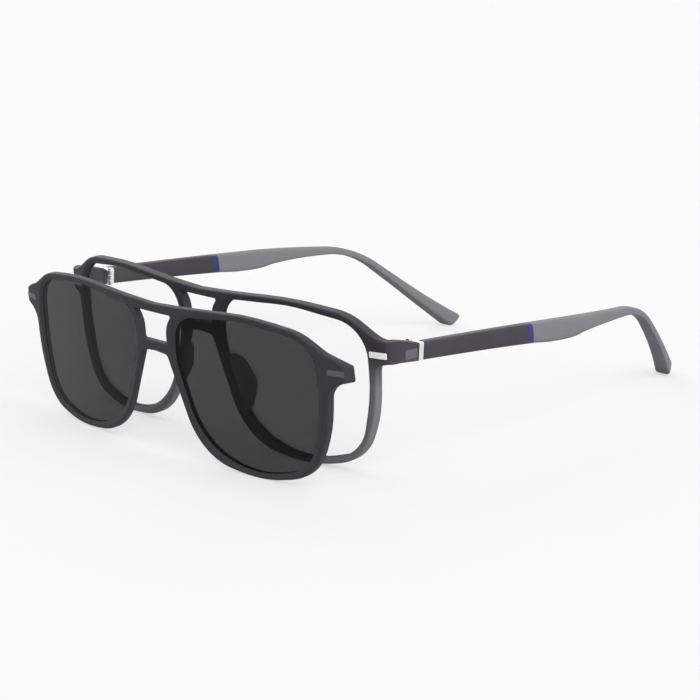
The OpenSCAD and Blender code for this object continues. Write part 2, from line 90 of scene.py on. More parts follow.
# Nose pads
PAD_H, PAD_DEEP, PAD_T = 19.0, 9.0, 1.8
PAD_FOOT = 1.2                              # where a pad starts behind the face
PAD_LOW = BAR_LOW - 5 - PAD_H
PAD_MIDDLE = BAR_LOW - 9
PAD_LEAN, PAD_SPLAY = math.radians(21), math.radians(16)

# Hinges
HINGE_Y, HINGE_Z, SLOPE = 17.0, 35.0, math.radians(3.0)
PLATE_T, PLATE_GAP = 0.8, 0.08
KNUCKLE_R, KNUCKLE_H, KNUCKLE_GAP = 1.2, 1.6, 0.05
SCREW_R, PIN_X = 0.6, 65.0

# Temples: places along their line, from the hinge to the tip
TEMPLE_T, TEMPLE_H = 3.5, 5.2
ARM_L, SLEEVE_Y, TIP_S, TIP_T = 44.5, 46.7, 147.857, 5.8
BEND_Y, BEND_R, BEND_DROP = 93.5, 31.5, math.radians(36.0)
CURVE_Y, SLEEVE_CURVE = 60.0, 172.0         # where the inward curve starts, and its radius
BAND_SLANT, SLANT_REACH = 0.22, 20.0        # the band's joints lean forward at the top


# Node trees

class Socket:
    """A node socket that adds Math nodes when it is used in an expression."""

    def __init__(self, tree, socket):
        self.tree = tree
        self.socket = socket

    def __add__(self, other):
        return maths("ADD", self, other)

    def __radd__(self, other):
        return maths("ADD", other, self)

    def __sub__(self, other):
        return maths("SUBTRACT", self, other)

    def __rsub__(self, other):
        return maths("SUBTRACT", other, self)

    def __mul__(self, other):
        return maths("MULTIPLY", self, other)

    def __rmul__(self, other):
        return maths("MULTIPLY", other, self)

    def __truediv__(self, other):
        return maths("DIVIDE", self, other)

    def __rtruediv__(self, other):
        return maths("DIVIDE", other, self)


class Tree:
    """Adds nodes to a material, a world or a geometry tree."""

    def __init__(self, owner):
        self.nodes = owner.nodes
        self.links = owner.links

    def add(self, kind, settings, *values, output=0, **named):
        """A node of a type, with its settings and the values or links of its sockets.

        Values go to its sockets in order, and named ones to the socket of that name."""
        node = self.nodes.new(kind)
        for key, value in settings.items():
            if key == "heights":
                points = node.mapping.curves[0].points
                for _ in value[2:]:
                    points.new(0.5, 0.5)
                for point, place in zip(points, value):
                    point.location = place
                node.mapping.update()
            else:
                setattr(node, key, value)
        pairs = list(enumerate(values))
        pairs += [(name.replace("_", " "), value) for name, value in named.items()]
        for name, value in pairs:
            if isinstance(value, Socket):
                self.links.new(value.socket, node.inputs[name])
            elif value is not None:
                node.inputs[name].default_value = value
        return Socket(self, node.outputs[output]) if node.outputs else None

    def outputs(self, kind, *values):
        """All the outputs of a node, by name."""
        node = self.add(kind, {}, *values).socket.node
        return {socket.name: Socket(self, socket) for socket in node.outputs}

    def split(self, vector):
        """The three parts of a vector."""
        return self.outputs("ShaderNodeSeparateXYZ", vector).values()

    def noise(self, where, scale, detail, roughness):
        return self.add(
            "ShaderNodeTexNoise", {}, Vector=where, Scale=scale, Detail=detail, Roughness=roughness)

    def colours(self, share, first, second):
        """Two colours mixed by a share; either may be a link."""
        unused = [None] * 5
        return self.add("ShaderNodeMix", {"data_type": "RGBA"}, share, *unused, first, second, output=2)

    def feed(self, shader, name, value):
        self.links.new(value.socket, shader.inputs[name])


def maths(operation, *values):
    """One Math node, in the tree of the first socket among its values."""
    tree = next(value.tree for value in values if isinstance(value, Socket))
    return tree.add("ShaderNodeMath", {"operation": operation}, *values)


def clamped(value, low, high):
    return maths("MINIMUM", maths("MAXIMUM", value, low), high)


def within(value, middle, reach, soft):
    """1 where a value lies within reach of a middle, 0 outside, with a soft edge."""
    return clamped((reach - maths("ABSOLUTE", value - middle)) / soft + 0.5, 0.0, 1.0)


# Materials

def opaque(colour):
    return (*colour, 1.0)


def new_material(name, colour, roughness, **constants):
    """A material with its Principled shader; constants are set on the shader's own sockets."""
    material = bpy.data.materials.new(name)
    material.use_nodes = True
    material.diffuse_color = opaque(colour)
    shader = material.node_tree.nodes["Principled BSDF"]
    shader.inputs["Base Color"].default_value = opaque(colour)
    shader.inputs["Roughness"].default_value = roughness
    for key, value in constants.items():
        shader.inputs[key.replace("_", " ")].default_value = value
    return material, Tree(material.node_tree), shader


def place_of(tree):
    """Object coordinates in millimetres, so that patterns are in real sizes."""
    where = tree.add("ShaderNodeTexCoord", {}, output="Object")
    return tree.add("ShaderNodeVectorMath", {"operation": "SCALE"}, where, Scale=1 / MM)


def moulded(name, dark, light, roughness, specular, grain=9.0, bump=0.012, patches=()):
    """Matt moulded plastic: slow cloud of two tones, fine tooth, worn sheen in places.

    Each patch (middle, reach, soft edge, colour) paints another tone over a box of the object, such as
    painted light where light would shine through the plastic."""
    material, tree, shader = new_material(name, dark, roughness, Specular_IOR_Level=specular)
    where = place_of(tree)
    cloud = tree.noise(where, 0.12, 3.0, 0.55)
    tooth = tree.noise(where, grain, 4.0, 0.6)
    scuff = tree.noise(where, 1.3, 5.0, 0.7)
    colour = tree.colours(cloud, opaque(dark), opaque(light))
    for middle, reach, soft, tone in patches:
        x, y, z = tree.split(where)
        mask = within(maths("ABSOLUTE", x), middle[0], reach[0], soft)
        mask = mask * within(y, middle[1], reach[1], soft) * within(z, middle[2], reach[2], soft)
        colour = tree.colours(mask, colour, opaque(tone))
    tree.feed(shader, "Base Color", colour)
    tree.feed(shader, "Roughness", roughness - 0.06 + scuff * 0.12)
    tree.feed(shader, "Normal", tree.add(
        "ShaderNodeBump", {}, Strength=0.35, Distance=bump * MM, Height=tooth))
    return material


def brushed(name, colour, roughness, metallic=1.0, stretch=(0.4, 14.0, 14.0)):
    """Metal with fine brush lines along the direction in which its pattern is stretched."""
    material, tree, shader = new_material(name, colour, roughness, Metallic=metallic)
    lines = tree.add("ShaderNodeMapping", {}, Vector=place_of(tree), Scale=stretch)
    brush = tree.noise(lines, 1.0, 4.0, 0.6)
    tree.feed(shader, "Roughness", roughness - 0.08 + brush * 0.16)
    tree.feed(shader, "Normal", tree.add(
        "ShaderNodeBump", {}, Strength=0.25, Distance=0.01 * MM, Height=brush))
    return material


def lens_glass(name, colour, alpha, roughness, specular):
    """A lens: see-through, polished, with the faintest haze of handling."""
    material, tree, shader = new_material(
        name, colour, roughness, Alpha=alpha, Specular_IOR_Level=specular)
    haze = tree.noise(place_of(tree), 0.15, 3.0, 0.5)
    tree.feed(shader, "Roughness", roughness + haze * 0.03)
    return material


# The front is painted paler low down, where light would shine through its thin rims: painted light. It is
# also paler where the anchors of the hinges show.
# Painted light: a paler tone over the lower front, standing in for light shining through the thin plastic.
PAINTED_RIM_GLOW = ((0.0, 0.0, 10.0), (90.0, 60.0, 20.0), 9.0, (0.215, 0.211, 0.221))
HINGE_ANCHORS = ((70.0, 13.1, 35.0), (0.6, 2.3, 1.3), 0.3, (0.15, 0.143, 0.161))
# The front's own two tones are painted a little lighter than the clip's, standing in for light that shines
# through the front's plastic: painted light.
FRONT_PLASTIC = moulded(
    "front_plastic", (0.050, 0.047, 0.054), (0.067, 0.063, 0.073), roughness=0.58, specular=0.15,
    patches=(PAINTED_RIM_GLOW, HINGE_ANCHORS))
CLIP_PLASTIC = moulded(
    "clip_plastic", (0.040, 0.038, 0.042), (0.054, 0.051, 0.057), roughness=0.58, specular=0.15)
TEMPLE_PLASTIC = moulded(
    "temple_plastic", (0.046, 0.042, 0.052), (0.062, 0.056, 0.070), roughness=0.55, specular=0.2)
SLEEVE_RUBBER = moulded(
    "sleeve_rubber", (0.21, 0.206, 0.224), (0.25, 0.245, 0.266), roughness=0.75, specular=0.25,
    grain=6.0, bump=0.02)
BAND_PLASTIC = moulded(
    "band_plastic", (0.033, 0.028, 0.145), (0.045, 0.039, 0.180), roughness=0.45, specular=0.3)
CLEAR = lens_glass("clear_lens", (0.95, 0.97, 0.98), alpha=0.025, roughness=0.03, specular=0.25)
TINT = lens_glass("tinted_lens", (0.006, 0.006, 0.006), alpha=0.76, roughness=0.05, specular=0.06)
INLAY = brushed("bright_inlay", (0.96, 0.96, 0.94), roughness=0.75)
DARK_INLAY = brushed("dark_inlay", (0.10, 0.10, 0.11), roughness=0.45, metallic=0.3)
STEEL = brushed("hinge_steel", (0.80, 0.80, 0.81), roughness=0.3, stretch=(12.0, 12.0, 0.6))


# Outlines: clockwise lists of points across and up, in the plane of a front

def corner(a, b, c, r):
    """An arc in place of the corner b; its radius gives way where a side is short."""
    a, b, c = np.array(a[:2]), np.array(b[:2]), np.array(c[:2])
    if r == 0:
        return [b]
    u, v = (a - b) / np.linalg.norm(a - b), (c - b) / np.linalg.norm(c - b)
    half = math.acos(max(-1.0, min(1.0, float(u @ v)))) / 2
    cut = min(r / math.tan(half), 0.49 * np.linalg.norm(a - b), 0.49 * np.linalg.norm(c - b))
    r = cut * math.tan(half)
    middle = b + (u + v) / np.linalg.norm(u + v) * r / math.sin(half)
    start = b + u * cut - middle
    sweep = -math.copysign(math.pi - 2 * half, u[0] * v[1] - u[1] * v[0])
    count = max(3, math.ceil(abs(sweep) / math.radians(5)))
    turns = [sweep * k / count for k in range(count + 1)]
    return [middle + (start[0] * math.cos(t) - start[1] * math.sin(t),
                      start[0] * math.sin(t) + start[1] * math.cos(t)) for t in turns]


def spaced(points, step, fine=0.4):
    """Points added so that none lie further apart than step, or than fine at the corners of the front."""
    out = []
    for a, b in zip(points, np.roll(points, -1, axis=0)):
        low, high = sorted((abs(a[0]), abs(b[0])))
        reach = fine if high > CORNER_ZONE[0] and low < CORNER_ZONE[1] else step
        count = max(1, math.ceil(np.linalg.norm(b - a) / reach))
        out += [a + (b - a) * k / count for k in range(count)]
    return np.array(out)


def rounded(points, step=1.0):
    """An outline through (across, up, radius) corners, with an arc at each."""
    following = points[1:] + points[:1]
    arcs = [corner(points[i - 1], p, following[i], p[2]) for i, p in enumerate(points)]
    return spaced(np.array([q for arc in arcs for q in arc]), step)


def both_sides(half):
    return list(half) + [(-x, z, r) for x, z, r in reversed(half) if x > 0]


def mirrored(outline):
    return (outline * (-1, 1))[::-1]


def outward(outline):
    """The normal at each point of an outline, away from its inside."""
    run = np.roll(outline, -1, axis=0) - np.roll(outline, 1, axis=0)
    run /= np.linalg.norm(run, axis=1, keepdims=True)
    return np.stack([-run[:, 1], run[:, 0]], axis=1)


def grown(outline, out):
    return outline + out * outward(outline)


def inside(points, outline):
    """Which points lie inside an outline."""
    x, z = points[:, :1], points[:, 1:2]
    a, b = outline, np.roll(outline, -1, axis=0)
    level = (a[:, 1] > z) != (b[:, 1] > z)
    rise = np.where(b[:, 1] == a[:, 1], 1.0, b[:, 1] - a[:, 1])
    crossed = x < (b[:, 0] - a[:, 0]) * (z - a[:, 1]) / rise + a[:, 0]
    return (level & crossed).sum(axis=1) % 2 == 1


def round_face(x):
    """Distance round the curve of the front, for a distance straight across."""
    return CURVE * np.arcsin(x / CURVE)


def wrapped(points):
    return [(round_face(x), z, r) for x, z, r in points]


def lens_outline(shape, width, height, gap):
    return rounded([(gap / 2 + u * width, RIM_FOOT + v * height, r) for u, v, r in shape], step=0.9)


def rim_points(side, nose, height, side_low, bar_low):
    """The corners of a front from the rim's side round its foot to the low bridge bar."""
    return [
        (side + RIM_SIDE + 0.8, side_low, 5), (side + RIM_SIDE, RIM_FOOT + 0.372 * height, 40),
        (side - 3.3, 3.5, 15), (side - 20.1, -0.7, 60), (nose + 8, 2.4, 21),
        (nose - 3.4, bar_low - 0.4, 1.6), (0, bar_low, 0)]


def brow_points(side, nose, height, crest, fall, shoulder):
    """The corners of a front from the middle of the brow to the shoulder above the end piece."""
    brow = RIM_FOOT + height + RIM_TOP
    return [
        (0, brow - BROW_DIP, 0), (nose + 3.9, brow - 0.7 * BROW_DIP, 60),
        (nose + crest * (side - nose), brow, 150), (side - 6.5, brow - fall, 19), (side + 1.5, shoulder, 12)]


def arm_end(up):
    """A corner of the side arm at its hinge: distance round the front, and height."""
    ahead = -PLATE_GAP / 2 - PLATE_T
    y = HINGE_Y + ahead * math.cos(SLOPE) + up * math.sin(SLOPE)
    z = HINGE_Z - ahead * math.sin(SLOPE) + up * math.cos(SLOPE) - FRONT_LIFT
    back = y * math.cos(LEAN) + z * math.sin(LEAN) - CORNER_Y
    return U_ARM + back, z * math.cos(LEAN) - y * math.sin(LEAN), 0.15


def front_outline():
    nose, side = LENS_GAP / 2, LENS_GAP / 2 + LENS_W
    brow = brow_points(side, nose, LENS_H, 0.505, 1.8, END_TOP + 1.2)
    side_arm = [
        (U_TURN - 0.5, END_TOP, 9), (U_ARM, END_TOP, 4), arm_end(TEMPLE_H / 2), arm_end(-TEMPLE_H / 2),
        (U_ARM, END_LOW, 4), (U_TURN + 1.2, END_LOW, 1.0)]
    rim = rim_points(side, nose, LENS_H, END_LOW - 0.7, BAR_LOW)
    return rounded(both_sides(wrapped(brow) + side_arm + wrapped(rim)))


def clip_outline():
    nose, side = CLIP_GAP / 2, CLIP_SIDE
    brow = brow_points(side, nose, CLIP_LENS_H, 0.535, 2.4, CLIP_END_TOP + 2.6)
    end = [(CLIP_HALF - 0.4, CLIP_END_TOP, 0.8), (CLIP_HALF, CLIP_END_LOW, 0.8)]
    rim = rim_points(side, nose, CLIP_LENS_H, CLIP_END_LOW - 1.9, CLIP_BAR_LOW)
    return rounded(both_sides(brow + end + rim))


def gap_outline(gap, low, high):
    """The opening between the two bars of the bridge."""
    return rounded(both_sides([
        (0, high, 0), (gap / 2 - 0.6, high, 0.4), (gap / 2 - 3, low + 0.585 * (high - low), 12),
        (gap / 2 - 3.1, low, 0.6), (0, low, 0)]), step=0.7)


def box_outline(half_w, half_h, radius):
    return rounded(both_sides([
        (0, half_h, 0), (half_w, half_h, radius), (half_w, -half_h, radius), (0, -half_h, 0)]), step=0.5)


# Corners of the lenses, as shares of their width and height, each with its radius
LENS = [(0.029, 0.973, 7.7), (0.521, 1.011, 62), (0.992, 0.941, 11), (1.004, 0.507, 50),
        (0.933, 0.096, 12), (0.553, -0.036, 60), (0.153, 0.134, 24), (-0.014, 0.708, 50)]
CLIP_LENS = [(0.029, 0.951, 7.7), (0.521, 1.014, 62), (0.992, 0.93, 9.5), (1.004, 0.489, 50),
             (0.94, 0.093, 12), (0.553, -0.035, 60), (0.153, 0.129, 24), (-0.014, 0.683, 50)]
CLEAR_OUT = lens_outline(LENS, LENS_W, LENS_H, LENS_GAP)
CLEAR_OUT[:, 0] = round_face(CLEAR_OUT[:, 0])
TINT_OUT = lens_outline(CLIP_LENS, CLIP_LENS_W, CLIP_LENS_H, CLIP_GAP)
PAD_OUT = rounded([
    (PAD_FOOT, PAD_LOW + PAD_H, 2), (0.72 * PAD_DEEP, PAD_LOW + 0.9 * PAD_H, 5),
    (PAD_DEEP, PAD_LOW + 0.42 * PAD_H, 5), (0.5 * PAD_DEEP, PAD_LOW + 0.04 * PAD_H, 4),
    (PAD_FOOT, PAD_LOW, 2)], step=0.8)


# Places: each takes points of (across, up, depth) and gives them in the table's frame

def smooth(x):
    x = np.clip(x, 0, 1)
    return x * x * (3 - 2 * x)


def turned(a, b, angle):
    return a * math.cos(angle) - b * math.sin(angle), a * math.sin(angle) + b * math.cos(angle)


def leaning(x, y, z):
    y, z = turned(y, z, LEAN)
    return np.stack([x, y, z + FRONT_LIFT], axis=1)


def on_front(p):
    """Round the face, up and into the front; past the face, round the corner and back along the arm."""
    u, way, z, t = np.abs(p[:, 0]), np.where(p[:, 0] < 0, -1.0, 1.0), p[:, 1], p[:, 2]
    turn = np.minimum(u, U_TURN) / CURVE
    r = CURVE - t
    x, y = CURVE * np.sin(turn), CURVE - np.sqrt(r * r - (CURVE * np.sin(turn)) ** 2)
    square = smooth((u - U_TURN + 5) / 5)       # over 5 mm the depth turns square to the face
    x += square * (r * np.sin(turn) - x)
    y += square * (CURVE - r * np.cos(turn) - y)
    turn = CORNER_TURN + np.clip(u - U_TURN, 0, U_ARM - U_TURN) / CORNER_R
    deep = t * (1 + (TEMPLE_T / FRONT_T - 1) * smooth((u - U_ARM - 1) / 3))     # the arm is thicker
    past = u > U_TURN
    x = np.where(past, CORNER_X + (CORNER_R - deep) * np.sin(turn), x)
    y = np.where(past, CORNER_Y - (CORNER_R - deep) * np.cos(turn) + np.maximum(0, u - U_ARM), y)
    return leaning(x * way, y, z)


def on_clip(p):
    """Straight across, up and into the clip-on; its two ends are bevelled towards the face."""
    x, z, t = p[:, 0], p[:, 1], p[:, 2]
    past = np.maximum(0, np.abs(x) - CLIP_HALF + CLIP_BEVEL_RUN) / CLIP_BEVEL_RUN
    x = x - np.sign(x) * past * CLIP_BEVEL * (1 - t / CLIP_T)
    y = CURVE - np.sqrt((CLIP_R - t) ** 2 - x * x)
    return leaning(x, y, z + CLIP_LIFT) + CLIP_PLACE


def on_bar(way, radius, height, shift=(0, 0, 0)):
    """A magnet bar let into a face of this radius: across and up from its middle, and in."""
    turn = math.asin(MAGNET_X / CURVE)

    def place(p):
        across, deep = p[:, 0], radius - p[:, 2]
        x = across * math.cos(turn) + deep * math.sin(turn)
        y = CURVE + across * math.sin(turn) - deep * math.cos(turn)
        return leaning(way * x, y, p[:, 1] + height) + shift
    return place


def at_hinge(x, y, z):
    y, z = turned(y, z, -SLOPE)
    return np.stack([x, HINGE_Y + y, HINGE_Z + z], axis=1)


def on_plate(way, y0):
    """A hinge end plate: across, up and back in the temple's frame."""
    return lambda p: at_hinge(way * p[:, 0], y0 + p[:, 2], p[:, 1])


def on_pin(way, top):
    """A knuckle: round the pin, with depth down from its top."""
    return lambda p: at_hinge(way * (PIN_X + p[:, 0]), p[:, 1], top - p[:, 2])


def on_pad(way):
    """A nose pad: back, up and through it, fuller over the first 3.5 mm, where it leaves the rim."""
    def place(p):
        y, z = p[:, 0] - 1, p[:, 1] - PAD_MIDDLE
        fuller = np.clip(1 - (p[:, 0] - PAD_FOOT) / 3.5, 0, 1) ** 2
        x = (p[:, 2] - PAD_T / 2) * (1 + 0.7 * fuller)
        x, y = turned(x, y, -PAD_SPLAY)
        x, z = turned(x, z, PAD_LEAN)
        return leaning(way * (x + LENS_GAP / 2 + 1.3), y + 1, z + PAD_MIDDLE)
    return place


# Meshes

def dressed(name, mesh, material, body, node):
    """Puts a finished mesh in the scene in place of a solid."""
    mesh.materials.clear()
    mesh.materials.append(material)
    obj = bpy.data.objects.new(name, mesh)
    bpy.context.scene.collection.objects.link(obj)
    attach(obj, body)
    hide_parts(node)


class Body:
    """Gathers rings and filled faces in a flat frame, then bends them into place with true normals."""

    def __init__(self, place):
        self.place = place
        self.points, self.normals, self.faces, self.parts = [], [], [], [self]

    def ring(self, outline, profile, widths=1.0):
        """Sweeps a profile of (out, depth, normal out, normal depth) along an outline.

        The profile may be narrower in places: widths holds its share at each point."""
        rows = []
        normals = outward(outline)
        widths = np.broadcast_to(widths, len(outline))
        for out, depth, n_out, n_depth in profile:
            rows.append(range(len(self.points), len(self.points) + len(outline)))
            self.points += [(*(p + out * w * n), depth) for p, n, w in zip(outline, normals, widths)]
            self.normals += [(*(n * n_out), n_depth) for n in normals]
        for a, b in zip(rows, rows[1:]):
            self.faces += [(a[i - 1], a[i], b[i], b[i - 1]) for i in range(len(a))]
        return rows[0], rows[-1]

    def fill(self, outer, holes, facing, step, columns=()):
        """Closes a face between an outer ring and its holes, with points inside so that it can bend."""
        index, sides = [], []
        for loop in [outer] + holes:
            start = len(index)
            index += loop
            sides += [(start + k, start + (k + 1) % len(loop)) for k in range(len(loop))]
        rim = np.array([self.points[i][:2] for i in index])
        low, high = rim.min(axis=0), rim.max(axis=0)
        across = np.array(sorted([*np.arange(low[0], high[0], step), *columns]))
        upward = np.arange(low[1] + 0.3, high[1], step)
        grid = np.stack(np.meshgrid(across, upward), axis=-1).reshape(-1, 2)
        loops = np.split(rim, np.cumsum([len(loop) for loop in [outer] + holes])[:-1])

        def on_face(points):
            keep = inside(points, loops[0])
            for hole in loops[1:]:
                keep &= ~inside(points, hole)
            return keep

        grid = grid[on_face(grid)]
        room = np.array([np.hypot(*(rim - g).T).min() for g in grid])
        flat = [Vector(p) for p in rim] + [Vector(g) for g in grid[room > 0.3]]
        made = geometry.delaunay_2d_cdt(flat, sides, [], 0, 1e-5)
        depth = self.points[outer[0]][2]
        found = []
        for spot, source in zip(made[0], made[3]):
            known = [i for i in source if i < len(index)]
            if known:
                found.append(index[known[0]])
            else:
                found.append(len(self.points))
                self.points.append((spot.x, spot.y, depth))
                self.normals.append((0, 0, facing))
        spots = np.array([tuple(v) for v in made[0]])
        middles = np.array([spots[list(face)].mean(axis=0) for face in made[2]])
        for face, keep in zip(made[2], on_face(middles)):
            if keep and len({found[i] for i in face}) == len(face):
                self.faces.append(tuple(found[i] for i in face))

    def add(self, other):
        """Makes another body part of this one."""
        self.parts.append(other)

    def bent(self):
        """The points in their place, in metres, with their normals."""
        flat = np.array(self.points, float)
        here = self.place(flat)
        nudge = 0.004
        slopes = [(self.place(flat + step) - here) / nudge for step in np.eye(3) * nudge]
        around = np.linalg.inv(np.stack(slopes, axis=1))
        normals = np.einsum("nij,nj->ni", around, np.array(self.normals, float))
        normals /= np.linalg.norm(normals, axis=1, keepdims=True)
        return here * MM, normals

    def finished(self, name, material, body, slot, node):
        """Makes one piece of all its parts, each face turned to the side of its normals."""
        points, normals, faces, start = [], [], [], 0
        for part in self.parts:
            here, facing = part.bent()
            points.append(here)
            normals.append(facing)
            faces += [tuple(i + start for i in face) for face in part.faces]
            start += len(here)
        points, normals = np.concatenate(points), np.concatenate(normals)
        for k, face in enumerate(faces):
            a, b, c = points[list(face[:3])]
            if np.cross(b - a, c - a) @ normals[list(face)].sum(axis=0) < 0:
                faces[k] = face[::-1]
        mesh = bpy.data.meshes.new(name)
        mesh.from_pydata(points.tolist(), [], faces)
        mesh.polygons.foreach_set("use_smooth", [True] * len(mesh.polygons))
        mesh.normals_split_custom_set_from_vertices(normals.tolist())
        dressed(name, mesh, material, body, node)


def edges(thickness, front, back, start=0.0):
    """The profile of an outer wall with rounded edges of two radii."""
    turns = [math.radians(a) for a in (0, 22, 45, 67, 90)]
    near = [(front * (math.sin(a) - 1), start + front * (1 - math.cos(a)), math.sin(a), -math.cos(a))
            for a in turns]
    far = [(back * (math.sin(a) - 1), thickness - back * (1 - math.cos(a)), math.sin(a), math.cos(a))
           for a in reversed(turns)]
    return near + far


def inner(profile):
    """The same wall round an opening."""
    return [(-out, depth, -n_out, n_depth) for out, depth, n_out, n_depth in profile]


def opening(thickness, lens_at, lens_t, width):
    """The profile of a lens opening: a bevel to the lens, the groove that holds it and the wall behind."""
    depth = lens_at - 0.12
    slope = math.hypot(width, depth)
    n_out, n_depth = -depth / slope, -width / slope
    back = lens_at + lens_t
    return [
        (width + 0.1, 0, 0, -1), (width, 0.03, n_out, n_depth), (0.06, depth, n_out, n_depth),
        (0, depth + 0.05, -1, 0), (0, lens_at - 0.02, -1, 0), (0.02, lens_at - 0.01, 0, 1),
        (GROOVE, lens_at - 0.01, 0, 1), (GROOVE, back + 0.01, 0, -1), (0.02, back + 0.01, 0, -1),
        (0, back + 0.02, -1, 0), (0, thickness - 0.2, -1, 0), (0.06, thickness - 0.06, -0.7, 0.7),
        (0.2, thickness, 0, 1)]


def front_body(place, outline, lens, gap, thickness, lens_at, lens_t, bevel, columns=()):
    """A plate with two lens openings and the opening in its bridge; the bevels narrow where it is thin."""
    body = Body(place)
    face, back = body.ring(outline, edges(thickness, FACE_ROUND, BACK_ROUND))
    fronts, backs = [], []
    for hole in (lens, mirrored(lens)):
        rim = np.array([min(np.hypot(*(wall - p).T).min() for wall in (outline, gap)) for p in hole])
        room = np.minimum(1.0, (rim - FACE_ROUND - 0.12) / (bevel + 0.1))
        room = np.mean([np.roll(room, k) for k in range(-4, 5)], axis=0)
        near, far = body.ring(hole, opening(thickness, lens_at, lens_t, bevel), room)
        fronts.append(near)
        backs.append(far)
    near, far = body.ring(gap, inner(edges(thickness, 0.3, 0.3)))
    body.fill(face, fronts + [near], -1, 1.3, columns)
    body.fill(back, backs + [far], 1, 1.3, columns)
    return body


def slab(place, outline, thickness, front, back, start=0.0, step=1.0):
    """A plain plate of an outline with rounded edges."""
    body = Body(place)
    face, rear = body.ring(outline, edges(thickness, front, back, start))
    body.fill(face, [], -1, step)
    body.fill(rear, [], 1, step)
    return body


def lens_body(place, outline, at, thickness):
    return slab(place, grown(outline, GROOVE - 0.03), at + thickness, 0.12, 0.12, at, step=2.2)


def bar_body(place, size):
    half_w, half_h, depth = size
    return slab(place, box_outline(half_w, half_h, 0.3), depth, 0.08, 0.05, -MAGNET_PROUD, step=0.6)


# The two fronts, with their lenses and magnet bars

CORNER_COLUMNS = [way * u for way in (-1, 1) for u in np.arange(*CORNER_ZONE, 0.45)]
front = front_body(on_front, front_outline(), CLEAR_OUT, gap_outline(LENS_GAP, GAP_LOW, GAP_TOP),
                   FRONT_T, CLEAR_AT, CLEAR_T, CLEAR_BEVEL, CORNER_COLUMNS)
for _, way in SIDES:
    front.add(slab(on_pad(way), PAD_OUT, PAD_T, 0.85, 0.85))
front.finished("front", FRONT_PLASTIC, "front", "frame_plastic", "front_frame")

clip_on = front_body(on_clip, clip_outline(), TINT_OUT, gap_outline(CLIP_GAP, CLIP_GAP_LOW, CLIP_GAP_TOP),
                     CLIP_T, TINT_AT, TINT_T, TINT_BEVEL)
clip_on.finished("clip_on", CLIP_PLASTIC, "clip", "frame_plastic", "clip_frame")

for name, way in SIDES:
    clear_out, tint_out = (outline if way > 0 else mirrored(outline) for outline in (CLEAR_OUT, TINT_OUT))
    lens_body(on_front, clear_out, CLEAR_AT, CLEAR_T).finished(
        f"lens_{name}", CLEAR, "front", "clear_lens", f"clear_lens_{name}")
    lens_body(on_clip, tint_out, TINT_AT, TINT_T).finished(
        f"sun_lens_{name}", TINT, "clip", "tinted_lens", f"tinted_lens_{name}")
    bar_body(on_bar(way, CURVE, MAGNET_Z), MAGNET_SIZE).finished(
        f"inlay_{name}", INLAY, "front", "bright_inlay", f"magnet_bar_{name}")
    bar_body(on_bar(way, CLIP_R, CLIP_MAGNET_Z + CLIP_LIFT, CLIP_PLACE), CLIP_MAGNET_SIZE).finished(
        f"clip_inlay_{name}", DARK_INLAY, "clip", "dark_inlay", f"clip_magnet_{name}")


# Hinges: end plates, straps and knuckles

PLATE_OUT = rounded([
    (HALF_W - TEMPLE_T, TEMPLE_H / 2, 0.35), (HALF_W, TEMPLE_H / 2, 0.35),
    (HALF_W, -TEMPLE_H / 2, 0.35), (HALF_W - TEMPLE_T, -TEMPLE_H / 2, 0.35)], step=0.8)
ROUND_SIDES = 48
ROUND_TURNS = np.linspace(0, 2 * math.pi, ROUND_SIDES, endpoint=False)
ROUND_OUT = np.array([(math.cos(-t), math.sin(-t)) for t in ROUND_TURNS])


def knuckle(way, top, bore):
    """A barrel round the pin, with rounded rims and a bore."""
    body = Body(on_pin(way, top))
    height = KNUCKLE_H - KNUCKLE_GAP
    outer = body.ring(ROUND_OUT * KNUCKLE_R, edges(height, 0.12, 0.12))
    hole = body.ring(ROUND_OUT * bore, inner(edges(height, 0.04, 0.04)))
    for a, b in zip(outer, hole):
        body.faces += [(a[i - 1], a[i], b[i], b[i - 1]) for i in range(ROUND_SIDES)]
    return body


def strap(way, top, y0):
    """The strap from an end plate to its knuckle, let into both."""
    low = top - KNUCKLE_H + KNUCKLE_GAP
    near, far = PIN_X + 0.75, HALF_W - TEMPLE_T + 0.25
    outline = rounded([(far, top, 0.1), (far, low, 0.1), (near, low, 0.1), (near, top, 0.1)], step=0.5)
    return slab(on_plate(way, y0), outline, PLATE_T, 0.08, 0.08, step=0.8)


def hinge_half(way, y0, tops, bore):
    """An end plate with a knuckle and a strap down from each of the given heights."""
    plate = slab(on_plate(way, y0), PLATE_OUT, PLATE_T, 0.06, 0.06)
    for top in tops:
        plate.add(knuckle(way, top, bore))
        plate.add(strap(way, top, y0))
    return plate


HIGH, MIDDLE, LOW = (k * KNUCKLE_H - KNUCKLE_GAP for k in (1.5, 0.5, -0.5))
for name, way in SIDES:
    hinge_half(way, -PLATE_GAP / 2 - PLATE_T, (HIGH, LOW), SCREW_R + 0.02).finished(
        f"hinge_front_{name}", STEEL, "front", "hinge_steel", f"front_hinge_{name}")
    hinge_half(way, PLATE_GAP / 2, (MIDDLE,), SCREW_R + 0.05).finished(
        f"hinge_temple_{name}", STEEL, f"temple_{name}", "hinge_steel", f"temple_hinge_{name}")
    screw = NODES[f"hinge_screw_{name}"]
    screw.data.materials.clear()
    screw.data.materials.append(STEEL)


# Temples: one node tree draws each piece along the temple's line

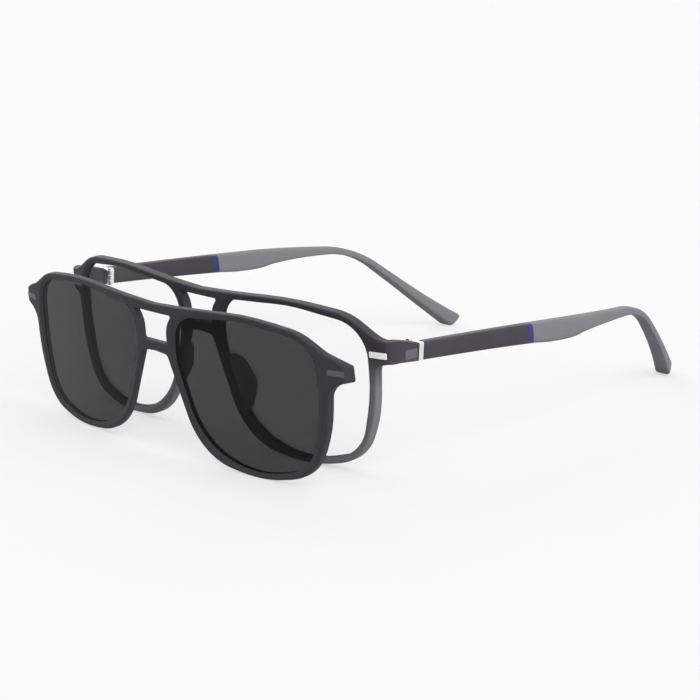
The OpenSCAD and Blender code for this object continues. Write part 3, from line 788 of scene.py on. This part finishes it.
# Heights of the edges over and under that line, each at a distance along it
ABOVE = [(0, 2.6), (63.7, 2.5), (71.7, 2.35), (84.5, 1.95), (94.5, 1.55), (109.5, 1.3), (119.5, 1.5),
         (135.5, 1.9), (TIP_S, 2.8)]
BELOW = [(0, 2.6), (46.7, 3.4), (55.7, 3.9), (63.7, 3.8), (71.7, 2.6), (84.5, 1.35), (94.5, 0.95),
         (119.5, 1.0), (135.5, 1.7), (TIP_S, 2.4)]
CHART_W, CHART_H = 150.0, 8.0               # a height curve runs from 0 to 1 over these
SQUARENESS = 0.42                           # 1 gives an oval section, less a squarer one
TIP_RUN = TIP_S - BEND_Y - BEND_R * BEND_DROP
TIP_PLAN_Y = BEND_Y + BEND_R * math.sin(BEND_DROP) + TIP_RUN * math.cos(BEND_DROP)
SECTION_POINTS = 61                         # round a section; the last meets the first
TEMPLE_SIZES = {
    "Start": "Float", "End": "Float", "Side": "Float", "Round Start": "Float", "Round End": "Float",
    "Rows": "Int", "Finish": "Material"}


def end_inset(distance, radius):
    """How far a rounded end draws the section in, at a distance from that end."""
    left = 1.0 - clamped(distance / radius, 0.0, 1.0)
    return radius * (1.0 - maths("SQRT", maths("MAXIMUM", 1.0 - left * left, 0.0)))


def squared(wave):
    """A sine wave drawn out towards a square one."""
    return maths("SIGN", wave) * maths("POWER", maths("ABSOLUTE", wave), SQUARENESS)


def height_along(tree, heights, along):
    points = {"heights": [(distance / CHART_W, height / CHART_H) for distance, height in heights]}
    return tree.add("ShaderNodeFloatCurve", points, 1.0, along / CHART_W) * CHART_H


def temple_tree():
    """A rounded bar from Start to End along the temple's line: its heights, ear bend and inward curve."""
    group = bpy.data.node_groups.new("temple_piece", "GeometryNodeTree")
    group.interface.new_socket(name="Mesh", in_out="OUTPUT", socket_type="NodeSocketGeometry")
    ids = {}
    for label, kind in TEMPLE_SIZES.items():
        made = group.interface.new_socket(name=label, in_out="INPUT", socket_type=f"NodeSocket{kind}")
        ids[label] = made.identifier
    tree = Tree(group)
    given = tree.outputs("NodeGroupInput")
    start, end, way, round_start, round_end, rows, finish = (given[label] for label in TEMPLE_SIZES)

    # A flat grid: along it from Start to End, with closer rows at both, and round the section
    grid = tree.add("GeometryNodeMeshGrid", {}, 1.0, 1.0, rows, SECTION_POINTS)
    grid_x, grid_y, _ = tree.split(tree.add("GeometryNodeInputPosition", {}))
    share, turn = grid_x + 0.5, (grid_y + 0.5) * (2 * math.pi)
    eased = 0.5 - maths("COSINE", share * math.pi) * 0.5
    s = start + eased * (end - start)
    inset = maths("MAXIMUM", end_inset(s - start, round_start), end_inset(end - s, round_end))
    open_row = maths("GREATER_THAN", share, 1e-4) * maths("LESS_THAN", share, 1.0 - 1e-4)
    across = squared(maths("COSINE", turn)) * open_row
    up = squared(maths("SINE", turn)) * open_row
    upper = maths("GREATER_THAN", up, 0.0)
    reach = upper * height_along(tree, ABOVE, s) + (1.0 - upper) * height_along(tree, BELOW, s)
    h = up * (reach - inset)

    # The ear bend, seen from the side, with the slant of the band's joints
    bend = clamped((s - BEND_Y) / BEND_R, 0.0, BEND_DROP)
    past = maths("MAXIMUM", s - (BEND_Y + BEND_R * BEND_DROP), 0.0)
    sine, cosine = maths("SINE", bend), maths("COSINE", bend)
    near = 1.0 - maths("ABSOLUTE", s - (ARM_L + SLEEVE_Y) / 2) / SLANT_REACH
    slant = h * maths("MAXIMUM", near, 0.0) * BAND_SLANT
    y = maths("MINIMUM", s, BEND_Y) + sine * BEND_R + past * cosine + h * sine - slant
    z = (cosine - 1.0) * BEND_R - past * sine + h * cosine

    # The inward curve, seen from above, between an outer and an inner arc that part towards the tip
    inner_curve = 1 / (1 / SLEEVE_CURVE + 2 * (TIP_T - TEMPLE_T) / (TIP_PLAN_Y - CURVE_Y) ** 2)
    back = maths("MAXIMUM", y - CURVE_Y, 0.0)
    outer_x = maths("SQRT", SLEEVE_CURVE ** 2 - back * back) + (HALF_W - SLEEVE_CURVE)
    inner_x = maths("SQRT", inner_curve ** 2 - back * back) + (HALF_W - TEMPLE_T - inner_curve)
    x = (outer_x + inner_x) * 0.5 + across * ((outer_x - inner_x) * 0.5 - inset)

    placed = tree.add(
        "ShaderNodeCombineXYZ", {}, x * way * MM,
        (y * math.cos(SLOPE) + z * math.sin(SLOPE) + HINGE_Y) * MM,
        (z * math.cos(SLOPE) - y * math.sin(SLOPE) + HINGE_Z) * MM)
    bent = tree.add("GeometryNodeSetPosition", {}, Geometry=grid, Position=placed)
    joined = tree.add("GeometryNodeMergeByDistance", {}, bent, Distance=0.002 * MM)
    soft = tree.add("GeometryNodeSetShadeSmooth", {}, joined)
    real = tree.add("GeometryNodeRealizeInstances", {}, soft)
    done = tree.add("GeometryNodeSetMaterial", {}, real, Material=finish)
    tree.add("NodeGroupOutput", {}, done)
    return group, ids


TEMPLE_TREE, TEMPLE_INPUTS = temple_tree()


def temple_piece(name, material, body, slot, node, **sizes):
    """One piece of a temple, made by the node tree and turned into a plain mesh."""
    holder = bpy.data.objects.new(name, bpy.data.meshes.new(name))
    bpy.context.scene.collection.objects.link(holder)
    modifier = holder.modifiers.new("temple", "NODES")
    modifier.node_group = TEMPLE_TREE
    for label, value in sizes.items():
        modifier[TEMPLE_INPUTS[label.replace("_", " ")]] = value
    modifier[TEMPLE_INPUTS["Finish"]] = material
    bpy.context.view_layer.update()
    mesh = bpy.data.meshes.new_from_object(holder.evaluated_get(bpy.context.evaluated_depsgraph_get()))
    bpy.data.objects.remove(holder)
    made = bmesh.new()
    made.from_mesh(mesh)
    bmesh.ops.recalc_face_normals(made, faces=made.faces)
    made.to_mesh(mesh)
    made.free()
    dressed(name, mesh, material, body, node)


for name, way in SIDES:
    body = f"temple_{name}"
    temple_piece(
        f"arm_{name}", TEMPLE_PLASTIC, body, "temple_plastic", f"temple_arm_{name}", Side=float(way),
        Start=PLATE_T + PLATE_GAP / 2, End=ARM_L, Round_Start=0.12, Round_End=0.08, Rows=60)
    temple_piece(
        f"band_{name}", BAND_PLASTIC, body, "band_plastic", f"temple_band_{name}", Side=float(way),
        Start=ARM_L, End=SLEEVE_Y, Round_Start=0.08, Round_End=0.08, Rows=24)
    temple_piece(
        f"sleeve_{name}", SLEEVE_RUBBER, body, "sleeve_rubber", f"temple_sleeve_{name}", Side=float(way),
        Start=SLEEVE_Y, End=TIP_S, Round_Start=0.12, Round_End=1.3, Rows=190)


# Studio, in metres

# Name, strength, spread and turn of each lamp, in degrees
LAMPS = (
    ("top_light", 0.5, 110, (10, 0, 20)),
    ("left_light", 1.0, 50, (58, 0, 272)),
    ("right_light", 2.5, 80, (64, 0, 84)),
    ("back_light", 0.7, 60, (68, 0, 222)),
    ("front_light", 0.4, 90, (60, 0, 10)))
AIR_LIGHT = 0.2                             # how brightly the surroundings light the object
AIR_COLOUR = (0.955, 0.955, 0.96, 1.0)
FLOOR_R, FLOOR_DROP = 6.0, 0.00005
FLOOR_COLOUR, FLOOR_GLOW = (0.4, 0.4, 0.4), 0.555

# The camera, worked out from the photograph
PICTURE_W, FOCAL_PIXELS, SENSOR_W = 700, 2266.2, 36.0
SHIFT = (-0.00889, -0.02114)
AZIMUTH, ELEVATION, ROLL = math.radians(45.217), math.radians(13.59), math.radians(0.129)
DISTANCE = 0.70059
TARGET = Vector((0.0, 0.06135, 0.020))


def seen(tree):
    """1 for rays of the camera, of reflections and through lenses, and 0 for those that light a surface."""
    rays = tree.outputs("ShaderNodeLightPath")
    camera_or_glossy = maths("MAXIMUM", rays["Is Camera Ray"], rays["Is Glossy Ray"])
    return maths("MAXIMUM", camera_or_glossy, rays["Is Transmission Ray"])


def surroundings(scene):
    """A pale world that is seen at full strength and lights the object softly."""
    world = bpy.data.worlds.new("studio")
    scene.world = world
    world.use_nodes = True
    world.cycles.sampling_method = "NONE"
    background = world.node_tree.nodes["Background"]
    background.inputs["Color"].default_value = AIR_COLOUR
    tree = Tree(world.node_tree)
    tree.feed(background, "Strength", AIR_LIGHT + seen(tree) * (1.0 - AIR_LIGHT))


def pale_floor():
    """A floor that keeps the object's shadow and is seen nearly white."""
    bpy.ops.mesh.primitive_circle_add(
        vertices=96, radius=FLOOR_R, fill_type="NGON", location=(0, 0, -FLOOR_DROP))
    floor = bpy.context.object
    floor.name = "floor"
    material, tree, shader = new_material("pale_floor", FLOOR_COLOUR, 0.9, Specular_IOR_Level=0.0)
    shader.inputs["Emission Strength"].default_value = 1.0
    tree.feed(shader, "Emission Color", seen(tree) * FLOOR_GLOW)
    floor.data.materials.append(material)


def lamps(scene):
    for name, strength, spread, turn in LAMPS:
        light = bpy.data.lights.new(name, "SUN")
        light.energy = strength
        light.angle = math.radians(spread)
        lamp = bpy.data.objects.new(name, light)
        lamp.rotation_euler = Euler([math.radians(v) for v in turn])
        scene.collection.objects.link(lamp)


def photo_camera(scene):
    camera = bpy.data.cameras.new("camera")
    camera.sensor_width = SENSOR_W
    camera.lens = FOCAL_PIXELS / PICTURE_W * SENSOR_W
    camera.shift_x, camera.shift_y = SHIFT
    camera.clip_start = 0.01
    level = math.cos(ELEVATION)
    back = Vector((math.sin(AZIMUTH) * level, -math.cos(AZIMUTH) * level, math.sin(ELEVATION)))
    turn = back.to_track_quat("Z", "Y").to_matrix() @ Matrix.Rotation(ROLL, 3, "Z")
    eye = bpy.data.objects.new("camera", camera)
    eye.matrix_world = Matrix.Translation(TARGET + back * DISTANCE) @ turn.to_4x4()
    scene.collection.objects.link(eye)
    scene.camera = eye


scene = bpy.context.scene
scene.view_settings.view_transform = "Standard"
surroundings(scene)
pale_floor()
lamps(scene)
photo_camera(scene)
